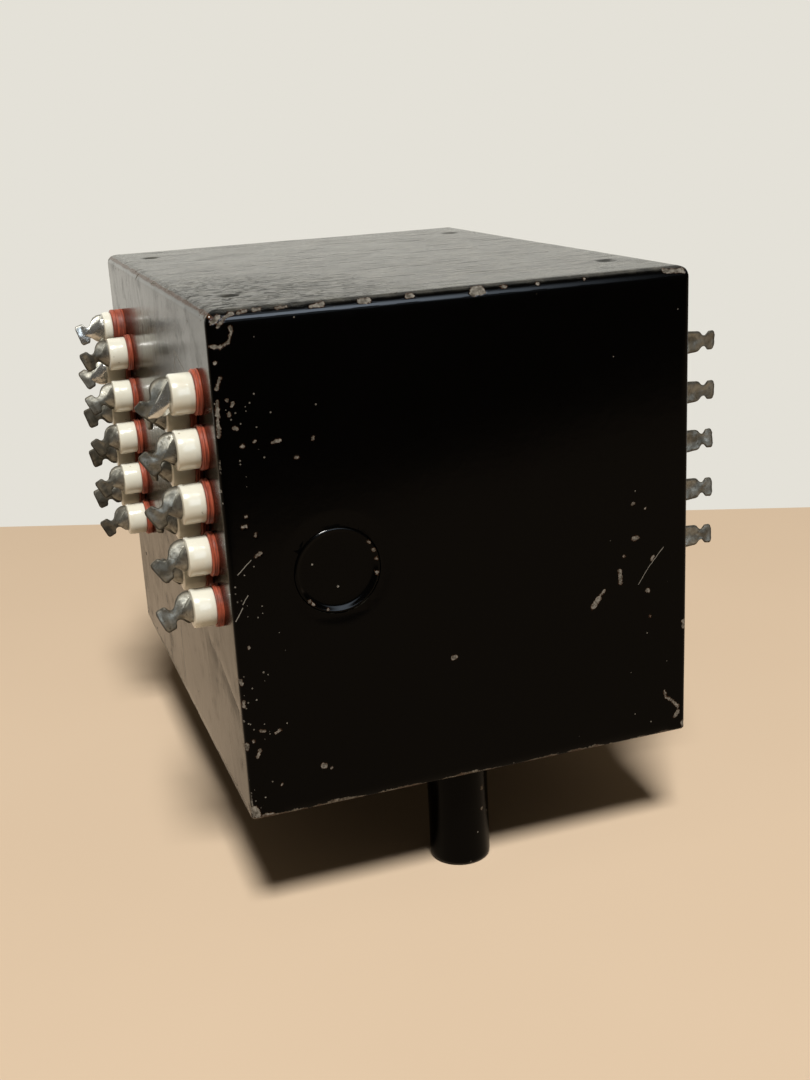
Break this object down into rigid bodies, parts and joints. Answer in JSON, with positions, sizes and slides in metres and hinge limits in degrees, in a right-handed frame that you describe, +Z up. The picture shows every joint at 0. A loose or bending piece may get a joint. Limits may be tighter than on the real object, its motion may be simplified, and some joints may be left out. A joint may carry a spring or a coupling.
{
  "type": "variable tuning capacitor",
  "caption": "Screened ganged tuning capacitor: black enamelled steel can with ceramic feed-through solder terminals on both sides, two tuning shafts below and a dished filler plug.",
  "frame": {"origin": "on the surface the object stands on, under the centre of the can and midway between the two tuning shafts", "axes": "+Z up, out of the top of the can; -Y out of the face with the filler plug; -X out of the side with the two double columns of terminals"},
  "size_m": [0.121, 0.129, 0.126],
  "materials": {
    "can_enamel": "gloss",
    "plug_enamel": "gloss",
    "shaft_enamel": "gloss",
    "terminal_ceramic": "satin",
    "frame_steel": "satin",
    "drive_brass": "satin",
    "plate_aluminium": "satin",
    "steatite": "matte"
  },
  "bodies": {
    "can": {"base_cover": "can_enamel", "can_shell": "can_enamel", "filler_plug": "plug_enamel", "frame_lower_plate": "frame_steel", "frame_tie_rod_1": "frame_steel", "frame_tie_rod_2": "frame_steel", "frame_tie_rod_3": "frame_steel", "frame_tie_rod_4": "frame_steel", "frame_upper_plate": "frame_steel", "shaft_bush_front": "drive_brass", "shaft_bush_rear": "drive_brass", "stator_front_1": "plate_aluminium", "stator_front_2": "plate_aluminium", "stator_front_3": "plate_aluminium", "stator_front_4": "plate_aluminium", "stator_front_5": "plate_aluminium", "stator_rear_1": "plate_aluminium", "stator_rear_2": "plate_aluminium", "stator_rear_3": "plate_aluminium", "stator_rear_4": "plate_aluminium", "stator_rear_5": "plate_aluminium", "stator_rod_front_a": "steatite", "stator_rod_front_b": "steatite", "stator_rod_rear_a": "steatite", "stator_rod_rear_b": "steatite", "terminal_left_front_inner_1": "terminal_ceramic", "terminal_left_front_inner_2": "terminal_ceramic", "terminal_left_front_inner_3": "terminal_ceramic", "terminal_left_front_inner_4": "terminal_ceramic", "terminal_left_front_outer_1": "terminal_ceramic", "terminal_left_front_outer_2": "terminal_ceramic", "terminal_left_front_outer_3": "terminal_ceramic", "terminal_left_front_outer_4": "terminal_ceramic", "terminal_left_front_outer_5": "terminal_ceramic", "terminal_left_rear_inner_1": "terminal_ceramic", "terminal_left_rear_inner_2": "terminal_ceramic", "terminal_left_rear_inner_3": "terminal_ceramic", "terminal_left_rear_inner_4": "terminal_ceramic", "terminal_left_rear_inner_5": "terminal_ceramic", "terminal_left_rear_outer_1": "terminal_ceramic", "terminal_left_rear_outer_2": "terminal_ceramic", "terminal_left_rear_outer_3": "terminal_ceramic", "terminal_left_rear_outer_4": "terminal_ceramic", "terminal_left_rear_outer_5": "terminal_ceramic", "terminal_right_front_1": "terminal_ceramic", "terminal_right_front_2": "terminal_ceramic", "terminal_right_front_3": "terminal_ceramic", "terminal_right_front_4": "terminal_ceramic", "terminal_right_front_5": "terminal_ceramic", "top_bearing_front": "drive_brass", "top_bearing_rear": "drive_brass"},
    "front_shaft": {"tuning_shaft_front": "shaft_enamel", "drive_pinion_front": "drive_brass"},
    "front_rotor": {"rotor_front": "plate_aluminium", "rotor_gear_front": "drive_brass"},
    "rear_shaft": {"tuning_shaft_rear": "shaft_enamel", "drive_pinion_rear": "drive_brass"},
    "rear_rotor": {"rotor_rear": "plate_aluminium", "rotor_gear_rear": "drive_brass"}
  },
  "joints": [
    {"name": "front_tuning", "type": "hinge", "parent": "can", "child": "front_shaft", "pos_m": [0, -0.0505, 0], "axis": [0, 0, 1], "range_deg": [0, 540]},
    {"name": "front_rotor_turn", "type": "hinge", "parent": "can", "child": "front_rotor", "pos_m": [0, -0.0295, 0.117], "axis": [0, 0, 1], "range_deg": [-180, 0]},
    {"name": "rear_tuning", "type": "hinge", "parent": "can", "child": "rear_shaft", "pos_m": [0, 0.0505, 0], "axis": [0, 0, 1], "range_deg": [0, 540]},
    {"name": "rear_rotor_turn", "type": "hinge", "parent": "can", "child": "rear_rotor", "pos_m": [0, 0.0295, 0.117], "axis": [0, 0, 1], "range_deg": [-180, 0]}
  ],
  "couplings": [
    {"joint": "front_rotor_turn", "follows": "front_tuning", "ratio": -0.33333},
    {"joint": "rear_rotor_turn", "follows": "rear_tuning", "ratio": -0.33333}
  ]
}
